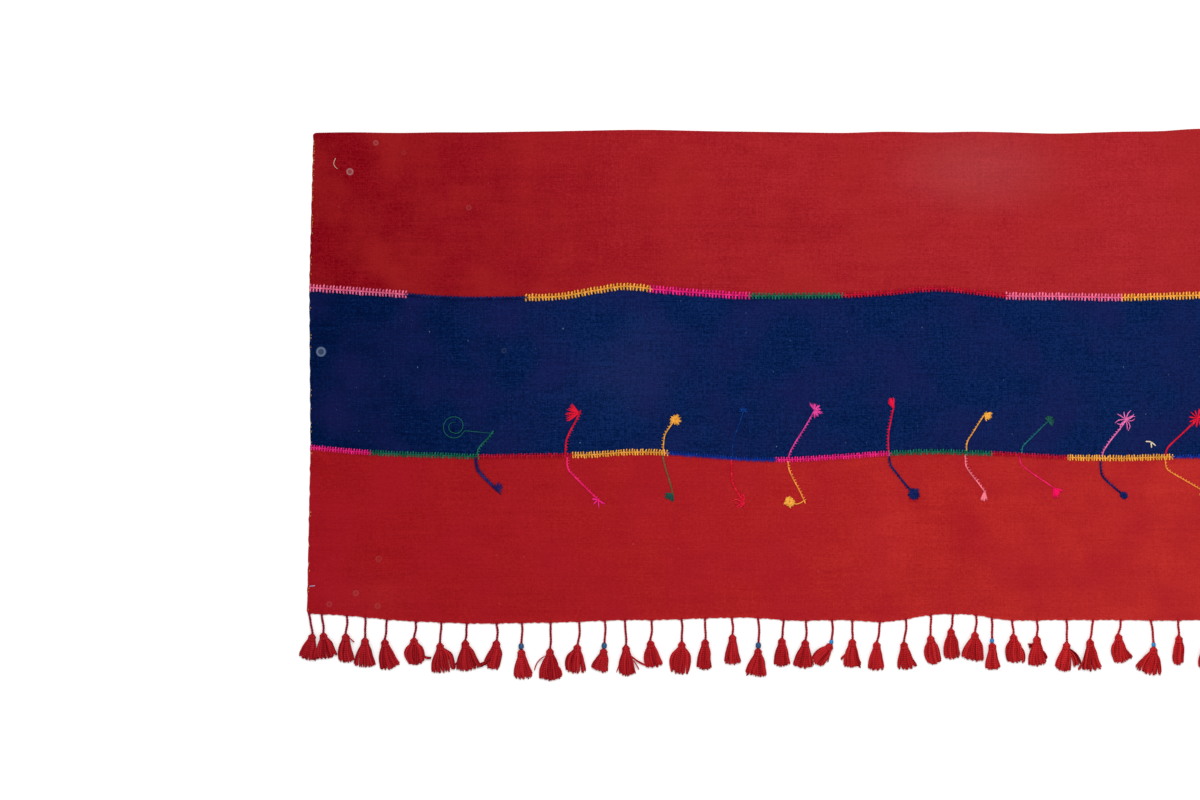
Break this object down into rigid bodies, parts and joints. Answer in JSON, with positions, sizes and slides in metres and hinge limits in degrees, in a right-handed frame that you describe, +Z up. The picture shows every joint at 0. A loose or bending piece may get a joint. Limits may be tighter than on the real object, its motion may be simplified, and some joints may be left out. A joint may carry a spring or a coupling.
{
  "type": "floor runner",
  "caption": "Flat-woven wool floor runner of joined red and blue cloths, with stitched joins and a row of beaded tassels.",
  "frame": {"origin": "on the floor under the middle of the runner's outline, tassels included", "axes": "+X along the runner's length, +Y across it away from the tasselled edge, +Z up"},
  "size_m": [2.229, 0.9379, 0.0108],
  "materials": {
    "red_cloth": "matt handspun wool, plain weave",
    "blue_cloth": "matt handspun wool, plain weave",
    "join_yarn": "two-ply wool yarn, soft lustre",
    "tassel_yarn": "two-ply wool yarn, soft lustre",
    "navy_bead": "pressed, glossy",
    "sky_bead": "pressed, glossy"
  },
  "bodies": {
    "root": {"upper_cloth": "red_cloth", "middle_cloth": "blue_cloth", "lower_cloth": "red_cloth", "upper_join": "join_yarn", "lower_join": "join_yarn", "tassel_01": "tassel_yarn", "tassel_02": "tassel_yarn", "tassel_03": "tassel_yarn", "tassel_04": "tassel_yarn", "tassel_05": "tassel_yarn", "tassel_06": "tassel_yarn", "tassel_07": "tassel_yarn", "tassel_08": "tassel_yarn", "tassel_09": "tassel_yarn", "tassel_10": "tassel_yarn", "tassel_11": "tassel_yarn", "tassel_12": "tassel_yarn", "tassel_13": "tassel_yarn", "tassel_14": "tassel_yarn", "tassel_15": "tassel_yarn", "tassel_16": "tassel_yarn", "tassel_17": "tassel_yarn", "tassel_18": "tassel_yarn", "tassel_19": "tassel_yarn", "tassel_20": "tassel_yarn", "tassel_21": "tassel_yarn", "tassel_22": "tassel_yarn", "tassel_23": "tassel_yarn", "tassel_24": "tassel_yarn", "tassel_25": "tassel_yarn", "tassel_26": "tassel_yarn", "tassel_27": "tassel_yarn", "tassel_28": "tassel_yarn", "tassel_29": "tassel_yarn", "tassel_30": "tassel_yarn", "tassel_31": "tassel_yarn", "tassel_32": "tassel_yarn", "tassel_33": "tassel_yarn", "tassel_34": "tassel_yarn", "tassel_35": "tassel_yarn", "tassel_36": "tassel_yarn", "tassel_37": "tassel_yarn", "tassel_38": "tassel_yarn", "tassel_39": "tassel_yarn", "tassel_40": "tassel_yarn", "tassel_41": "tassel_yarn", "tassel_42": "tassel_yarn", "tassel_43": "tassel_yarn", "tassel_44": "tassel_yarn", "tassel_45": "tassel_yarn", "tassel_46": "tassel_yarn", "tassel_47": "tassel_yarn", "tassel_48": "tassel_yarn", "tassel_49": "tassel_yarn", "tassel_50": "tassel_yarn", "tassel_51": "tassel_yarn", "tassel_52": "tassel_yarn", "tassel_53": "tassel_yarn"}
  },
  "joints": []
}
